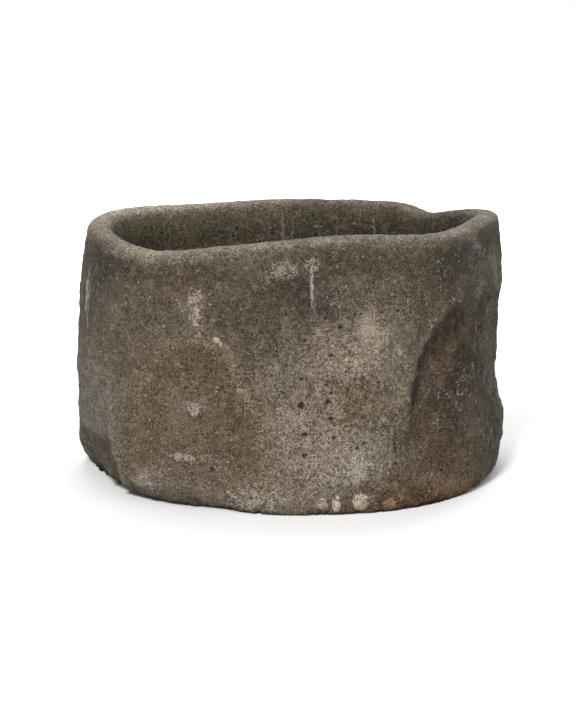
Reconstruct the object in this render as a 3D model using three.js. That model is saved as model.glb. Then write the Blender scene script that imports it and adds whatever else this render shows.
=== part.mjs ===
// A large stone molcajete: a deep, legless mortar carved from one block of porous volcanic stone, and
// the loose stone pestle (tejolote) that stands in its hollow. Millimetres, +Z up. The origin is the
// middle of the flat base. +X runs to the pinched corner of the rim, +Y runs to the wall that has the
// pushed-in notch, and -Y is the side with the long hollowed scar.
import * as THREE from 'three';

// ---- bowl: main sizes ----
const LENGTH = 300;
const WIDTH = 270;
const HEIGHT = 177;
const PLAN_POWER = 2.2;
const WALL_AT_RIM = 17;
const WALL_AT_FOOT = 24;
const FLOOR_THICKNESS = 30;
const LIP_ROUND = 8.5;
const RIM_INSET = 8;
const BELLY_HEIGHT = 45;
const FOOT_HEIGHT = 26;
const FOOT_INSET = 1.5;
const HOLLOW_ROUND = 0.6;
const HOLLOW_DROP = 0.75;

// ---- tejolote: main sizes ----
const PESTLE_LENGTH = 112;
const PESTLE_HEAD_RADIUS = 33;
const PESTLE_HEAD_HEIGHT = 24;
const PESTLE_WAIST_RADIUS = 21.5;
const PESTLE_WAIST_HEIGHT = 68;
const PESTLE_KNOB_RADIUS = 25.5;
const PESTLE_KNOB_HEIGHT = 92;
const SEAT_GAP = 0.3;

// ---- facets of the meshes ----
const BOWL_SEGMENTS = 84;
const PESTLE_SEGMENTS = 36;

// The wall isn't a true oval. Each push moves it out (or in, when negative) by `by` around one spot:
// `turn` degrees round from +X, `high` above the base, fading over `wide` degrees and `tall` mm.
// `inside` is the share of the push that the inner wall follows.
const PUSHES = [
  { name: 'waist_right', by: -4.4, turn: 4, wide: 22, high: 88, tall: 36, inside: 0.2 },
  { name: 'foot_bulge_right', by: 2.6, turn: 0, wide: 20, high: 30, tall: 13, inside: 0 },
  { name: 'corner_right', by: 4.6, turn: 5, wide: 14, high: HEIGHT - 31, tall: 46, inside: 1 },
  { name: 'flat_front_right', by: -9, turn: -24, wide: 16, high: HEIGHT - 2, tall: 55, inside: 1 },
  { name: 'notch_back_right', by: -7, turn: 36, wide: 12, high: HEIGHT - 2, tall: 50, inside: 1 },
  { name: 'bulge_front_left', by: 3, turn: 228, wide: 25, high: HEIGHT - 17, tall: 60, inside: 1 },
  { name: 'lean_left', by: -2.8, turn: 190, wide: 28, high: HEIGHT + 3, tall: 32, inside: 1 },
  { name: 'flat_back', by: -4, turn: 105, wide: 22, high: 90, tall: 60, inside: 0.3 },
  { name: 'hollow_back_left', by: -3.5, turn: 155, wide: 14, high: 60, tall: 45, inside: 0 },
];

// The rim rises and dips: `by` mm at `turn` degrees, fading over `wide` degrees.
const RIM_WAVES = [
  { name: 'dip_front_left', by: -8.5, turn: 228, wide: 24 },
  { name: 'rise_front_right', by: 4, turn: 290, wide: 20 },
  { name: 'rise_right_corner', by: 4.5, turn: 0, wide: 18 },
  { name: 'dip_at_notch', by: -5, turn: 36, wide: 9 },
  { name: 'dip_back_left', by: -2.5, turn: 125, wide: 22 },
];

// The foot is broken away further in some directions: `by` mm more inset at the base.
const FOOT_BREAKS = [
  { name: 'left', by: 20, turn: 196, wide: 14 },
  { name: 'front_left', by: 22, turn: 221, wide: 19 },
  { name: 'front_left_end', by: 17, turn: 246, wide: 12 },
  { name: 'right', by: 11, turn: 338, wide: 24 },
  { name: 'back', by: 5, turn: 100, wide: 60 },
];

// Flat facets struck off the outside: each is a plane facing `turn` degrees round and `tilt` degrees up,
// `away` mm from the origin, met by the wall over a soft edge.
const FACETS = [
  { name: 'chip_lower_left', turn: 195, tilt: -32, inFromSide: 36.5, edge: 1.2 },
  { name: 'flat_left', turn: 203, tilt: -4, inFromSide: 8, edge: 1.5 },
];

// The long scar at the front right: an arched hollow with a crisp edge, `deep` at its middle with a
// short `step` at its edge. Below `high` its edges run down to the foot, drifting by `drift` degrees.
const SCAR = { turn: -27, wide: 30, high: 60, arch: 78, drift: 4, deep: 6.5, step: 2.4 };

const DEGREE = Math.PI / 180;

/** A soft bump: 1 at the middle, fading to nothing on both sides. */
function bell(t) {
  return Math.exp(-t * t);
}

/** The signed angle from b to a, in degrees, between -180 and 180. */
function between(a, b) {
  return ((((a - b + 180) % 360) + 360) % 360) - 180;
}

function clamp01(v) {
  return Math.min(1, Math.max(0, v));
}

/** The smaller of two radii, blended over a soft edge of about k mm. */
function softMin(a, b, k) {
  const h = clamp01(0.5 + (0.5 * (b - a)) / k);
  return b * (1 - h) + a * h - k * h * (1 - h);
}

/** Radius of the squared oval that the bowl's plan is drawn on. */
function planRadius(turn) {
  const c = Math.abs(Math.cos(turn * DEGREE)) / (LENGTH / 2);
  const s = Math.abs(Math.sin(turn * DEGREE)) / (WIDTH / 2);
  return (c ** PLAN_POWER + s ** PLAN_POWER) ** (-1 / PLAN_POWER);
}

/** How far the wall is pushed out at one spot, outside or inside. */
function pushed(turn, z, isInside) {
  let sum = 0;
  for (const p of PUSHES) {
    const share = isInside ? p.inside : 1;
    sum += share * p.by * bell(between(turn, p.turn) / p.wide) * bell((z - p.high) / p.tall);
  }
  return sum;
}

/** How much higher or lower than HEIGHT the rim is in one direction. */
function rimLift(turn) {
  let sum = 0;
  for (const w of RIM_WAVES) {
    sum += w.by * bell(between(turn, w.turn) / w.wide);
  }
  return sum;
}

/** The inward lean of the wall from the belly up to the rim. */
function lean(z) {
  return RIM_INSET * clamp01((z - BELLY_HEIGHT) / (HEIGHT - BELLY_HEIGHT)) ** 1.5;
}

/** The rounding of the foot, deeper where the edge has broken away. */
function footInset(turn, z) {
  let inset = FOOT_INSET;
  for (const f of FOOT_BREAKS) {
    inset += f.by * bell(between(turn, f.turn) / f.wide);
  }
  const low = clamp01((FOOT_HEIGHT - z) / FOOT_HEIGHT);
  return inset * (1 - Math.sqrt(1 - 0.98 * low * low));
}

/** Depth of the scar: an ellipse above SCAR.high, straight-sided below it. */
function scarDepth(turn, z) {
  const middle = SCAR.turn - SCAR.drift * clamp01((SCAR.high - z) / SCAR.high);
  const across = between(turn, middle) / SCAR.wide;
  const up = Math.max(0, z - SCAR.high) / SCAR.arch;
  const room = clamp01(1 - across * across - up * up);
  const fade = clamp01(z / SCAR.high) ** 0.6;
  return (SCAR.deep * room + SCAR.step * (1 - Math.exp(-room / 0.07))) * fade;
}

/** Distance from the axis to one facet's plane, in the direction `turn` at height z. */
function facetRadius(facet, turn, z) {
  const facing = Math.cos(facet.tilt * DEGREE) * Math.cos(between(turn, facet.turn) * DEGREE);
  if (facing < 0.2) {
    return Infinity;
  }
  const away = LENGTH / 2 - facet.inFromSide;
  return (away - z * Math.sin(facet.tilt * DEGREE)) / facing;
}

/** Outer radius of the wall. */
function outerRadius(turn, z) {
  let r = planRadius(turn) - lean(z) - footInset(turn, z) + pushed(turn, z, false);
  r -= scarDepth(turn, z);
  for (const facet of FACETS) {
    const flat = Math.min(facetRadius(facet, turn, z), 3 * LENGTH);
    r = softMin(r, flat, facet.edge);
  }
  return r;
}

/** Inner radius of the wall, before it rounds into the floor. */
function innerRadius(turn, z) {
  const up = clamp01((z - BELLY_HEIGHT) / (HEIGHT - BELLY_HEIGHT));
  const wall = WALL_AT_FOOT + (WALL_AT_RIM - WALL_AT_FOOT) * up;
  return planRadius(turn) - lean(z) + pushed(turn, z, true) - wall;
}

/** Height at which the lip's rounding starts, in one direction. */
function shoulder(turn) {
  return HEIGHT - LIP_ROUND + rimLift(turn);
}

/** The wall is drawn at the height it would have under a level rim, then stretched to the real rim. */
function levelHeight(turn, z) {
  return (z / shoulder(turn)) * (HEIGHT - LIP_ROUND);
}

/** A point [radius, height] on the flat base, at a share of the way from the middle to the edge. */
function basePoint(turn, share) {
  return [outerRadius(turn, 0) * share, 0];
}

function outerPoint(turn, share) {
  const z = shoulder(turn) * share;
  return [outerRadius(turn, levelHeight(turn, z)), z];
}

function lipPoint(turn, share) {
  const z = shoulder(turn);
  const out = outerRadius(turn, HEIGHT - LIP_ROUND);
  const into = innerRadius(turn, HEIGHT - LIP_ROUND);
  const c = Math.cos(Math.PI * share);
  const s = Math.sin(Math.PI * share);
  const across = Math.sign(c) * Math.abs(c) ** 0.85;
  return [(out + into) / 2 + ((out - into) / 2) * across, z + LIP_ROUND * Math.max(0, s) ** 0.85];
}

/** The hollow: a steep wall that rounds into a concave floor. */
function hollowPoint(turn, share) {
  const a = (share * Math.PI) / 2;
  const top = shoulder(turn);
  const z = FLOOR_THICKNESS + (top - FLOOR_THICKNESS) * (1 - Math.sin(a) ** HOLLOW_DROP);
  const narrow = Math.max(0, Math.cos(a)) ** HOLLOW_ROUND;
  return [innerRadius(turn, levelHeight(turn, z)) * narrow, z];
}

/** The bowl's rows from the middle of its base, up the wall, over the lip and down to the floor. */
function bowlRows() {
  const rows = [];
  for (const share of [0, 0.5, 0.97]) {
    rows.push((turn) => basePoint(turn, share));
  }
  for (const share of [0, 0.012, 0.04, 0.085, 0.15, 0.23, 0.32, 0.41, 0.5, 0.59, 0.68, 0.77, 0.85, 0.93, 1]) {
    rows.push((turn) => (share === 0 ? basePoint(turn, 1) : outerPoint(turn, share)));
  }
  for (const share of [0.12, 0.26, 0.4, 0.5, 0.6, 0.74, 0.88, 1]) {
    rows.push((turn) => lipPoint(turn, share));
  }
  for (const share of [0.06, 0.13, 0.22, 0.32, 0.43, 0.55, 0.67, 0.78, 0.88, 0.95, 1]) {
    rows.push((turn) => hollowPoint(turn, share));
  }
  return rows;
}

/** A lathe whose every row follows its own function of the angle. The first and last rows are on the axis. */
function carvedLathe(rows, segments) {
  const profile = rows.map((row) => new THREE.Vector2(...row(0)));
  profile[0].x = 0;
  profile[rows.length - 1].x = 0;
  const geometry = new THREE.LatheGeometry(profile, segments);
  const position = geometry.getAttribute('position');
  for (let k = 0; k < position.count; k += 1) {
    const column = Math.floor(k / rows.length) % segments;
    const turn = (360 * column) / segments;
    const row = k % rows.length;
    const onAxis = row === 0 || row === rows.length - 1;
    const [r, z] = rows[row](onAxis ? 0 : turn);
    const radius = onAxis ? 0 : r;
    position.setXYZ(k, radius * Math.cos(turn * DEGREE), radius * Math.sin(turn * DEGREE), z);
  }
  geometry.computeVertexNormals();
  return geometry;
}

/** Height of the pestle's domed grinding end above its lowest point, at a radius. */
function domeHeight(r) {
  return PESTLE_HEAD_HEIGHT * (1 - Math.sqrt(1 - clamp01(r / PESTLE_HEAD_RADIUS) ** 2));
}

/** The height at which the pestle stands: its domed end just clears every point of the hollow. */
function seatHeight() {
  let seat = FLOOR_THICKNESS;
  for (let turn = 0; turn < 360; turn += 15) {
    for (let share = 0.5; share < 1; share += 0.02) {
      const [r, z] = hollowPoint(turn, share);
      if (r < PESTLE_HEAD_RADIUS) {
        seat = Math.max(seat, z - domeHeight(r));
      }
    }
  }
  return seat + SEAT_GAP;
}

/** Smooth step from a to b as t goes from 0 to 1. */
function ease(a, b, t) {
  const s = clamp01(t);
  return a + (b - a) * s * s * (3 - 2 * s);
}

/** Radius of the pestle at a height above its lowest point: dome, taper, grip and rounded knob. */
function pestleRadius(z) {
  if (z < PESTLE_HEAD_HEIGHT) {
    const up = 1 - z / PESTLE_HEAD_HEIGHT;
    return PESTLE_HEAD_RADIUS * Math.sqrt(Math.max(0, 1 - up * up));
  }
  if (z < PESTLE_WAIST_HEIGHT) {
    const t = (z - PESTLE_HEAD_HEIGHT) / (PESTLE_WAIST_HEIGHT - PESTLE_HEAD_HEIGHT);
    return ease(PESTLE_HEAD_RADIUS, PESTLE_WAIST_RADIUS, t);
  }
  if (z < PESTLE_KNOB_HEIGHT) {
    const t = (z - PESTLE_WAIST_HEIGHT) / (PESTLE_KNOB_HEIGHT - PESTLE_WAIST_HEIGHT);
    return ease(PESTLE_WAIST_RADIUS, PESTLE_KNOB_RADIUS, t);
  }
  const up = (z - PESTLE_KNOB_HEIGHT) / (PESTLE_LENGTH - PESTLE_KNOB_HEIGHT);
  return PESTLE_KNOB_RADIUS * Math.sqrt(Math.max(0, 1 - up * up));
}

/** The pestle is hand-dressed: a slightly oval section that twists as it rises. */
function pestlePoint(turn, z) {
  const oval = 1 - 0.035 * (1 - Math.cos((turn - 40 - z * 0.3) * 2 * DEGREE)) * 0.5;
  return [pestleRadius(z) * oval, z];
}

function pestleRows() {
  const rows = [];
  for (const a of [0, 18, 36, 54, 72]) {
    const z = PESTLE_HEAD_HEIGHT * (1 - Math.cos(a * DEGREE));
    rows.push((turn) => pestlePoint(turn, z));
  }
  for (const t of [0, 0.2, 0.4, 0.6, 0.8, 1]) {
    const z = PESTLE_HEAD_HEIGHT + (PESTLE_WAIST_HEIGHT - PESTLE_HEAD_HEIGHT) * t;
    rows.push((turn) => pestlePoint(turn, z));
  }
  for (const t of [0.33, 0.67]) {
    const z = PESTLE_WAIST_HEIGHT + (PESTLE_KNOB_HEIGHT - PESTLE_WAIST_HEIGHT) * t;
    rows.push((turn) => pestlePoint(turn, z));
  }
  for (const a of [0, 18, 36, 54, 72, 90]) {
    const z = PESTLE_KNOB_HEIGHT + (PESTLE_LENGTH - PESTLE_KNOB_HEIGHT) * Math.sin(a * DEGREE);
    rows.push((turn) => pestlePoint(turn, z));
  }
  return rows;
}

/** Weathered olive-brown basalt, dry and rough. */
function bowlStone() {
  return new THREE.MeshStandardMaterial({ color: 0x655b4e, roughness: 0.92, metalness: 0 });
}

/** The same stone, greyer where the hand and the grinding keep it clean. */
function pestleStone() {
  return new THREE.MeshStandardMaterial({ color: 0x5f5a54, roughness: 0.85, metalness: 0 });
}

function makeBowl() {
  const mesh = new THREE.Mesh(carvedLathe(bowlRows(), BOWL_SEGMENTS), bowlStone());
  mesh.name = 'bowl';
  return mesh;
}

function makeTejolote() {
  const mesh = new THREE.Mesh(carvedLathe(pestleRows(), PESTLE_SEGMENTS), pestleStone());
  mesh.name = 'tejolote';
  mesh.position.set(0, 0, seatHeight());
  return mesh;
}

const molcajete = new THREE.Group();
molcajete.add(makeBowl());
molcajete.add(makeTejolote());

export default molcajete;
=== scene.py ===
"""A large legless stone molcajete with its tejolote standing in the hollow."""
import math

import bpy
import numpy as np
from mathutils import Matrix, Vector


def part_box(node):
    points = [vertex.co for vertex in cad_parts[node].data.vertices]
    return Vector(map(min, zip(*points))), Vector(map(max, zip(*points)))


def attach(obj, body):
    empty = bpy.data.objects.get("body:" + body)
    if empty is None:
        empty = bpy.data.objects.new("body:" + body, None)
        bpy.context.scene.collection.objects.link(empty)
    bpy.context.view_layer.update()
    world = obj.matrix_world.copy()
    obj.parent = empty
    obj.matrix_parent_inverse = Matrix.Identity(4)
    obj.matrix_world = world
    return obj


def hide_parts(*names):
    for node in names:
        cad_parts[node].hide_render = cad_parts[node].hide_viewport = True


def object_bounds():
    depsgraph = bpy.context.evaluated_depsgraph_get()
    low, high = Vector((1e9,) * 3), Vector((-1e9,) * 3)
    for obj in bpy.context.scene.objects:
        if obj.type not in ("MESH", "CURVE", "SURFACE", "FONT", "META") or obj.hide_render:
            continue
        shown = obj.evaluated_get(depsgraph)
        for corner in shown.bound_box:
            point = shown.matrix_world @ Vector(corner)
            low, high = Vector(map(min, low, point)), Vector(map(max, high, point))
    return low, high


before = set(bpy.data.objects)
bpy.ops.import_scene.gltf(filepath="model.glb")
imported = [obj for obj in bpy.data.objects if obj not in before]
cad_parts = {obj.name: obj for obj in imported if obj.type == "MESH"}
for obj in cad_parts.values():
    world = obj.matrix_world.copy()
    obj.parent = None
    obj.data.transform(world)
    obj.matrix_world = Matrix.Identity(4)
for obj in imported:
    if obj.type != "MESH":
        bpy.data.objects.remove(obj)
cad_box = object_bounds()

# The camera comes first: a long lens, a little above the rim, looking straight at the long side.
CAMERA_AWAY = 1.380
CAMERA_HIGH = 0.351
CAMERA_AIM = (-0.0016, 0.0, 0.0804)
CAMERA_LENS = 101.35

# Bowl, in millimetres: the same sizes as the CAD model's.
LENGTH = 300.0
WIDTH = 270.0
HEIGHT = 177.0
PLAN_POWER = 2.2
WALL_AT_RIM = 17.0
WALL_AT_FOOT = 24.0
FLOOR_THICKNESS = 30.0
LIP_ROUND = 8.5
LIP_POWER = 0.85
RIM_INSET = 8.0
LEAN_POWER = 1.5
BELLY_HEIGHT = 45.0
FOOT_HEIGHT = 26.0
FOOT_INSET = 1.5
HOLLOW_ROUND = 0.6
HOLLOW_DROP = 0.75

# The lip is fuller at the right end: (power less by, at turn, over degrees)
FULL_LIP, FULL_LIP_TURN, FULL_LIP_WIDE = 0.25, -8, 14

# (out by, at turn, over degrees, at height, over mm, share that the inner wall follows)
PUSHES = [
    (-4.4, 4, 22, 88, 36, 0.2),
    (2.6, 0, 20, 30, 13, 0.0),
    (4.6, 5, 14, HEIGHT - 31, 46, 1.0),
    (-9.0, -24, 16, HEIGHT - 2, 55, 1.0),
    (-7.0, 36, 12, HEIGHT - 2, 50, 1.0),
    (3.0, 228, 25, HEIGHT - 17, 60, 1.0),
    (-2.8, 190, 28, HEIGHT + 3, 32, 1.0),
    (-4.0, 105, 22, 90, 60, 0.3),
    (-3.5, 155, 14, 60, 45, 0.0),
]
# (up by, at turn, over degrees)
RIM_WAVES = [(-8.5, 228, 24), (4.0, 290, 20), (4.5, 0, 18), (-5.0, 36, 9), (-2.5, 125, 22)]
# (further in by, at turn, over degrees)
FOOT_BREAKS = [(20, 196, 14), (22, 221, 19), (17, 246, 12), (11, 338, 24), (5, 100, 60)]
# (turn, tilt up, mm in from the bowl's end, soft edge)
FACETS = [(195, -32, 36.5, 1.2), (203, -4, 8.0, 1.5)]
SCAR_TURN, SCAR_WIDE, SCAR_HIGH, SCAR_ARCH = -27, 30, 60, 78
SCAR_DRIFT, SCAR_DEEP, SCAR_STEP, SCAR_FADE = 4, 6.5, 2.4, 0.6
# How soon, as a share of the scar's room, the step at its edge is complete.
SCAR_SOON = 0.07
# A crack beside the scar, in degrees, degrees of sway and mm to each side, and the crease at the left end.
CRACK_TURN, CRACK_SWAY, CRACK_HALF = -61.5, 1.2, 1.3
CREASE_TURN = 216.5
# The brown arch stained on the front: its middle and half width in degrees, its foot and height in mm.
ARCH_TURN, ARCH_WIDE, ARCH_FOOT, ARCH_HIGH = 243.5, 19.0, 42, 72.0

# Tejolote, in millimetres.
PESTLE_LENGTH = 112.0
PESTLE_HEAD_RADIUS = 33.0
PESTLE_HEAD_HEIGHT = 24.0
PESTLE_WAIST_RADIUS = 21.5
PESTLE_WAIST_HEIGHT = 68.0
PESTLE_KNOB_RADIUS = 25.5
PESTLE_KNOB_HEIGHT = 92.0
# The pestle's section is oval: share of the radius, turn of its long axis, and twist in degrees per mm.
PESTLE_OVAL, PESTLE_AXIS, PESTLE_TWIST = 0.0175, 40, 0.3

# Rows and columns of the two grids, and the bowl's zones from the base's middle to the hollow.
COLUMNS = 600
BASE_ROWS, FOOT_ROWS, WALL_ROWS, LIP_ROWS, HOLLOW_ROWS = 5, 19, 92, 18, 28
BASE, WALL, LIP, HOLLOW = range(4)
PESTLE_COLUMNS, DOME_ROWS, SHAFT_ROWS = 216, 22, 62

# Degrees by which the bowl's columns are drawn towards the -Y side.
CROWDING = 17.0

# Radii, in millimetres, that turn degrees into a distance round the wall: for paint, and for the ribs.
PAINT_RADIUS = 145.0
RIB_RADIUS = 140.0
MM_PER_DEGREE = 2.4

# Whole numbers that mix a lattice corner into one hash, and the shift between one seed and the next.
HASH_X, HASH_Y, HASH_Z, HASH_SEED = 73856093, 19349663, 83492791, 2654435
HASH_STIR, HASH_MASK = 1274126177, 0xFFFFFF
SEED_SHIFT = np.array([17.3, 41.7, 29.1])


# ---------------------------------------------------------------- arithmetic shared by the surfaces

def bell(t):
    """1 at the middle, e to the minus t squared on both sides."""
    return np.exp(-t * t)


def between(a, b):
    """The signed angle from b to a, from -180 to 180 degrees."""
    return (a - b + 180.0) % 360.0 - 180.0


def step(lo, hi, v):
    """0 below lo, 1 above hi, and a smooth cubic between."""
    t = np.clip((v - lo) / (hi - lo), 0.0, 1.0)
    return t * t * (3.0 - 2.0 * t)


def soft_min(a, b, k):
    """The smaller of a and b, blended with a quadratic where they are within k of each other."""
    h = np.clip(0.5 + 0.5 * (b - a) / k, 0.0, 1.0)
    return b * (1 - h) + a * h - k * h * (1 - h)


def grain(points, size, seed):
    """Gradient noise: at each corner of a cube lattice a direction picked by a hash of the corner,
    dotted with the way to the point, and blended over the cube with a quintic. About -1 to 1."""
    q = points / size + SEED_SHIFT * (seed + 1)
    cell = np.floor(q).astype(np.int64)
    f = q - cell
    u = f * f * f * (f * (f * 6 - 15) + 10)
    total = np.zeros(points.shape[:-1])
    for corner in range(8):
        c = np.array([corner & 1, corner >> 1 & 1, corner >> 2 & 1])
        k = cell + c
        h = (k[..., 0] * HASH_X) ^ (k[..., 1] * HASH_Y) ^ (k[..., 2] * HASH_Z) ^ (seed * HASH_SEED)
        h = (h ^ (h >> 13)) * HASH_STIR & HASH_MASK
        turn = (h & 0xFFF) * (2 * math.pi / 4096)
        lift = ((h >> 12) & 0xFFF) / 2048.0 - 1.0
        flat = np.sqrt(1 - lift * lift)
        away = f - c
        dot = away[..., 0] * flat * np.cos(turn) + away[..., 1] * flat * np.sin(turn)
        dot += away[..., 2] * lift
        w = np.where(c, u, 1 - u)
        total += w[..., 0] * w[..., 1] * w[..., 2] * dot
    return total * 1.6


def rubble(points, size, seed, octaves=4, gain=0.5):
    """Octaves of grain, each half the size and `gain` of the height of the one before."""
    total = np.zeros(points.shape[:-1])
    for k in range(octaves):
        total += gain ** k * grain(points, size / 2 ** k, seed + 7 * k)
    return total


# ---------------------------------------------------------------- the bowl's surface

def plan_radius(turn):
    """Squared oval: (|cos|/half length)^p + (|sin|/half width)^p, to the power -1/p."""
    c = np.abs(np.cos(np.radians(turn))) / (LENGTH / 2)
    s = np.abs(np.sin(np.radians(turn))) / (WIDTH / 2)
    return (c ** PLAN_POWER + s ** PLAN_POWER) ** (-1 / PLAN_POWER)


def sector(turn, at, wide):
    """1 at a turn and less on both sides: a bell of the angle from it, over `wide` degrees."""
    return bell(between(turn, at) / wide)


def pushed(turn, z, inside):
    """Sum of the pushes, each a bell in turn times a bell in height."""
    total = 0.0
    for by, at, wide, high, tall, share in PUSHES:
        reach = by * (share if inside else 1.0)
        total = total + reach * sector(turn, at, wide) * bell((z - high) / tall)
    return total


def rim_lift(turn):
    """Sum of the rim's waves, each a bell in turn."""
    return sum(by * sector(turn, at, wide) for by, at, wide in RIM_WAVES)


def lean(z):
    """Inward lean: RIM_INSET times the share of the way from belly to rim, to the power LEAN_POWER."""
    return RIM_INSET * np.clip((z - BELLY_HEIGHT) / (HEIGHT - BELLY_HEIGHT), 0, 1) ** LEAN_POWER


def foot_inset(turn, z):
    """Quarter-round foot, deeper by a bell in turn at each break."""
    inset = FOOT_INSET + sum(by * sector(turn, at, wide) for by, at, wide in FOOT_BREAKS)
    low = np.clip((FOOT_HEIGHT - z) / FOOT_HEIGHT, 0, 1)
    return inset * (1 - np.sqrt(1 - 0.98 * low * low))


def scar_edge(turn, z):
    """One less the square of an arch's polar distance: 1 at the scar's middle, 0 on its edge, and below
    0 outside. The arch's middle drifts round as it comes down."""
    middle = SCAR_TURN - SCAR_DRIFT * np.clip((SCAR_HIGH - z) / SCAR_HIGH, 0, 1)
    up = np.clip(z - SCAR_HIGH, 0, None) / SCAR_ARCH
    return 1 - (between(turn, middle) / SCAR_WIDE) ** 2 - up ** 2


def scar_room(turn, z):
    """The scar's edge function, kept between 0 and 1."""
    return np.clip(scar_edge(turn, z), 0, 1)


def scar_step(room):
    """The short step down at the scar's edge: SCAR_STEP * (1 - e^(-room / SCAR_SOON))."""
    return SCAR_STEP * (1 - np.exp(-room / SCAR_SOON))


def scar_depth(turn, z):
    """Depth grows with the room, after a short step at the edge, and fades towards the foot."""
    room = scar_room(turn, z)
    return (SCAR_DEEP * room + scar_step(room)) * np.clip(z / SCAR_HIGH, 0, 1) ** SCAR_FADE


def outer_radius(turn, z):
    """Plan, less lean and foot, plus pushes, less scar, then the smaller of that and each facet's plane."""
    r = plan_radius(turn) - lean(z) - foot_inset(turn, z) + pushed(turn, z, False) - scar_depth(turn, z)
    far = 3 * LENGTH
    for at, tilt, from_end, edge in FACETS:
        facing = math.cos(math.radians(tilt)) * np.cos(np.radians(between(turn, at)))
        cut = (LENGTH / 2 - from_end - z * math.sin(math.radians(tilt))) / np.maximum(facing, 0.2)
        r = soft_min(r, np.where(facing > 0.2, np.minimum(cut, far), far), edge)
    return r


def inner_radius(turn, z):
    """Plan, less lean, plus the pushes' inside share, less a wall that thickens towards the foot."""
    up = np.clip((z - BELLY_HEIGHT) / (HEIGHT - BELLY_HEIGHT), 0, 1)
    wall = WALL_AT_FOOT + (WALL_AT_RIM - WALL_AT_FOOT) * up
    return plan_radius(turn) - lean(z) + pushed(turn, z, True) - wall


def bowl_surface():
    """Grid of points, one row per station from the base's middle, up the wall, over the lip and down
    the hollow, one column per turn. Columns are closer together on the -Y side: turn is s less
    CROWDING times the cosine of s. The lip is a half ellipse whose sine and cosine are raised to a
    power, `square`, that makes it fuller. Returns the points, the turns and each row's zone."""
    s = np.arange(COLUMNS) * 360.0 / COLUMNS
    turn = s - CROWDING * np.cos(np.radians(s))
    shoulder = HEIGHT - LIP_ROUND + rim_lift(turn)
    level = HEIGHT - LIP_ROUND
    r, z, zone = [], [], []

    def add(radius, height, where):
        """One more row: its radius and height at each turn, and its zone."""
        r.append(radius + 0.0 * turn)
        z.append(height + 0.0 * turn)
        zone.append(where)

    foot = outer_radius(turn, 0.0 * turn)
    for share in np.linspace(0.12, 1.0, BASE_ROWS):
        add(foot * share, 0.0, BASE)
    low = FOOT_HEIGHT / level
    shares = list(low * np.linspace(0, 1, FOOT_ROWS + 1)[1:] ** 1.4)
    shares += list(np.linspace(low, 1, WALL_ROWS + 1)[1:])
    for share in shares:
        add(outer_radius(turn, share * level), share * shoulder, WALL)
    out, into = outer_radius(turn, level + 0 * turn), inner_radius(turn, level + 0 * turn)
    square = LIP_POWER - FULL_LIP * sector(turn, FULL_LIP_TURN, FULL_LIP_WIDE)
    for a in np.linspace(0, math.pi, LIP_ROWS + 1)[1:]:
        across = np.sign(math.cos(a)) * abs(math.cos(a)) ** square
        up = max(math.sin(a), 1e-9) ** square
        add((out + into) / 2 + (out - into) / 2 * across, shoulder + LIP_ROUND * up, LIP)
    for a in np.linspace(0, 0.5 * math.pi, HOLLOW_ROWS + 1)[1:-1]:
        height = FLOOR_THICKNESS + (shoulder - FLOOR_THICKNESS) * (1 - math.sin(a) ** HOLLOW_DROP)
        inner = inner_radius(turn, height / shoulder * level)
        add(inner * math.cos(a) ** HOLLOW_ROUND, height, HOLLOW)
    r, z = np.array(r), np.array(z)
    t = np.radians(turn)
    points = np.stack([r * np.cos(t), r * np.sin(t), z], -1)
    return points, np.broadcast_to(turn, r.shape), np.array(zone)


def grid_normals(points):
    """Outward unit normals of a grid: the cross product of the column and row differences."""
    across = np.roll(points, -1, 1) - np.roll(points, 1, 1)
    along = np.gradient(points, axis=0)
    n = np.cross(across, along)
    return n / np.maximum(np.linalg.norm(n, axis=-1, keepdims=True), 1e-9)


def dents(points, centres, sizes, depths):
    """Sum of round pits: each is depth times (1 - (distance / size)^2) squared inside its size."""
    total = np.zeros(points.shape[:-1])
    for centre, size, depth in zip(centres, sizes, depths):
        near = np.abs(points[..., 2] - centre[2]) < size
        near &= np.abs(points[..., 0] - centre[0]) < size
        near &= np.abs(points[..., 1] - centre[1]) < size
        d2 = ((points[near] - centre) ** 2).sum(-1) / size ** 2
        total[near] += depth * np.clip(1 - d2, 0, 1) ** 2
    return total


def inside_box(points, box):
    """Points with each side that reaches past the box scaled back to it, by a factor on that side of 0."""
    low, high = np.array(box[0]) * 1000, np.array(box[1]) * 1000
    least, most = points.min((0, 1)), points.max((0, 1))
    down = np.where(least < low, low / np.where(least == 0, 1, least), 1.0)
    up = np.where(most > high, high / most, 1.0)
    return points * np.where(points < 0, down, up)


def solid_mesh(name, points, bottom, top):
    """Mesh of a grid closed round its columns, with one point at each end. Millimetres to metres."""
    rows, cols = points.shape[:2]
    verts = np.concatenate([[bottom], points.reshape(-1, 3), [top]]) * 0.001
    j = np.arange(cols)
    nxt = (j + 1) % cols
    first = 1 + np.arange(rows - 1)[:, None] * cols
    quads = np.stack([first + j, first + nxt, first + cols + nxt, first + cols + j], -1).reshape(-1, 4)
    last = 1 + (rows - 1) * cols
    fans = np.concatenate([np.stack([0 * j, 1 + nxt, 1 + j], -1),
                           np.stack([last + j, last + nxt, 0 * j + len(verts) - 1], -1)])
    mesh = bpy.data.meshes.new(name)
    mesh.from_pydata(verts.tolist(), [], quads.tolist() + fans.tolist())
    mesh.polygons.foreach_set("use_smooth", np.ones(len(mesh.polygons), dtype=bool))
    mesh.update()
    piece = bpy.data.objects.new(name, mesh)
    bpy.context.scene.collection.objects.link(piece)
    return piece


def paint(piece, name, values):
    """Colour attribute on the points: a grid of red, green and blue, and the first and last rows' means
    for the points that close the two ends."""
    full = np.concatenate([[values[0].mean(0)], values.reshape(-1, 3), [values[-1].mean(0)]])
    rgba = np.concatenate([full, np.ones((len(full), 1))], 1).astype(np.float32)
    layer = piece.data.color_attributes.new(name, "FLOAT_COLOR", "POINT")
    layer.data.foreach_set("color", rgba.ravel())


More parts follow.
